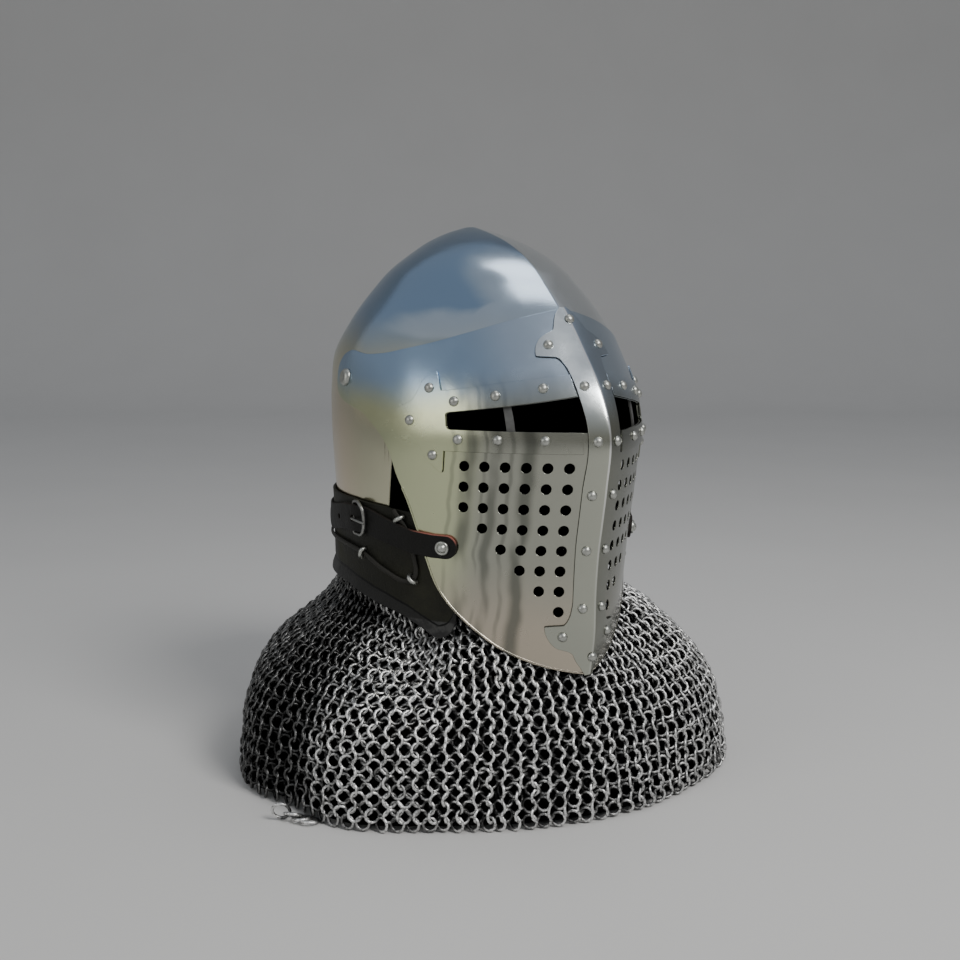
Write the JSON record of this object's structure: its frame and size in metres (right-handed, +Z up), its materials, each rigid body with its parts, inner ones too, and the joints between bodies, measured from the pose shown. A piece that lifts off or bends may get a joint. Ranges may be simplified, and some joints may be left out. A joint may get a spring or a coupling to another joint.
{
  "type": "visored helm with mail skirt",
  "caption": "Pointed steel helm with a keeled, pierced visor, riveted fleur-ended strips, a leather collar and strap, and a mail skirt that it stands on.",
  "frame": {"origin": "centre of the bounding box at the floor, under the flat underside of the mail's hem", "axes": "+Z up, the visor's keel faces -Y, the wearer's right is -X"},
  "size_m": [0.3972, 0.3828, 0.4334],
  "materials": {
    "skull_steel": "polished",
    "visor_steel": "polished with fine upright streaks",
    "strip_steel": "polished",
    "rivet_steel": "polished",
    "buckle_steel": "dull grey wire",
    "collar_leather": "black-olive, stitched",
    "strap_leather": "black-olive with a red-brown cut edge",
    "lace": "matt black",
    "mail": "round wire rings, four in one"
  },
  "bodies": {
    "root": {"skull": "skull_steel", "visor_plate": "visor_steel", "keel_strip": "strip_steel", "sight_band_right": "strip_steel", "sight_band_left": "strip_steel", "sight_bar_right": "visor_steel", "sight_bar_left": "visor_steel", "rivet_right_band_top_1": "rivet_steel", "rivet_right_band_top_2": "rivet_steel", "rivet_right_band_top_3": "rivet_steel", "rivet_right_band_low_1": "rivet_steel", "rivet_right_band_low_2": "rivet_steel", "rivet_right_band_low_3": "rivet_steel", "rivet_right_fleur_top": "rivet_steel", "rivet_right_fleur_mid": "rivet_steel", "rivet_right_fleur_low": "rivet_steel", "rivet_right_strip_1": "rivet_steel", "rivet_right_strip_2": "rivet_steel", "rivet_right_strip_3": "rivet_steel", "rivet_right_strip_4": "rivet_steel", "rivet_right_strip_5": "rivet_steel", "rivet_right_lobe_low": "rivet_steel", "rivet_right_lobe_top": "rivet_steel", "rivet_left_band_top_1": "rivet_steel", "rivet_left_band_top_2": "rivet_steel", "rivet_left_band_top_3": "rivet_steel", "rivet_left_band_low_1": "rivet_steel", "rivet_left_band_low_2": "rivet_steel", "rivet_left_band_low_3": "rivet_steel", "rivet_left_fleur_top": "rivet_steel", "rivet_left_fleur_mid": "rivet_steel", "rivet_left_fleur_low": "rivet_steel", "rivet_left_strip_1": "rivet_steel", "rivet_left_strip_2": "rivet_steel", "rivet_left_strip_3": "rivet_steel", "rivet_left_strip_4": "rivet_steel", "rivet_left_strip_5": "rivet_steel", "rivet_left_lobe_low": "rivet_steel", "rivet_left_lobe_top": "rivet_steel", "rivet_keel_low": "rivet_steel", "rivet_keel_top": "rivet_steel", "pivot_right": "rivet_steel", "pivot_left": "rivet_steel", "strap_rivet_right": "rivet_steel", "strap_rivet_left": "rivet_steel", "collar": "collar_leather", "visor_strap": "strap_leather", "nape_strap": "strap_leather", "buckle_frame": "buckle_steel", "buckle_prong": "buckle_steel", "lace": "lace", "staple_right_rear": "buckle_steel", "staple_right_front": "buckle_steel", "staple_right_upper": "buckle_steel", "staple_left_rear": "buckle_steel", "staple_left_front": "buckle_steel", "staple_left_upper": "buckle_steel", "mail_skirt": "mail"}
  },
  "joints": []
}
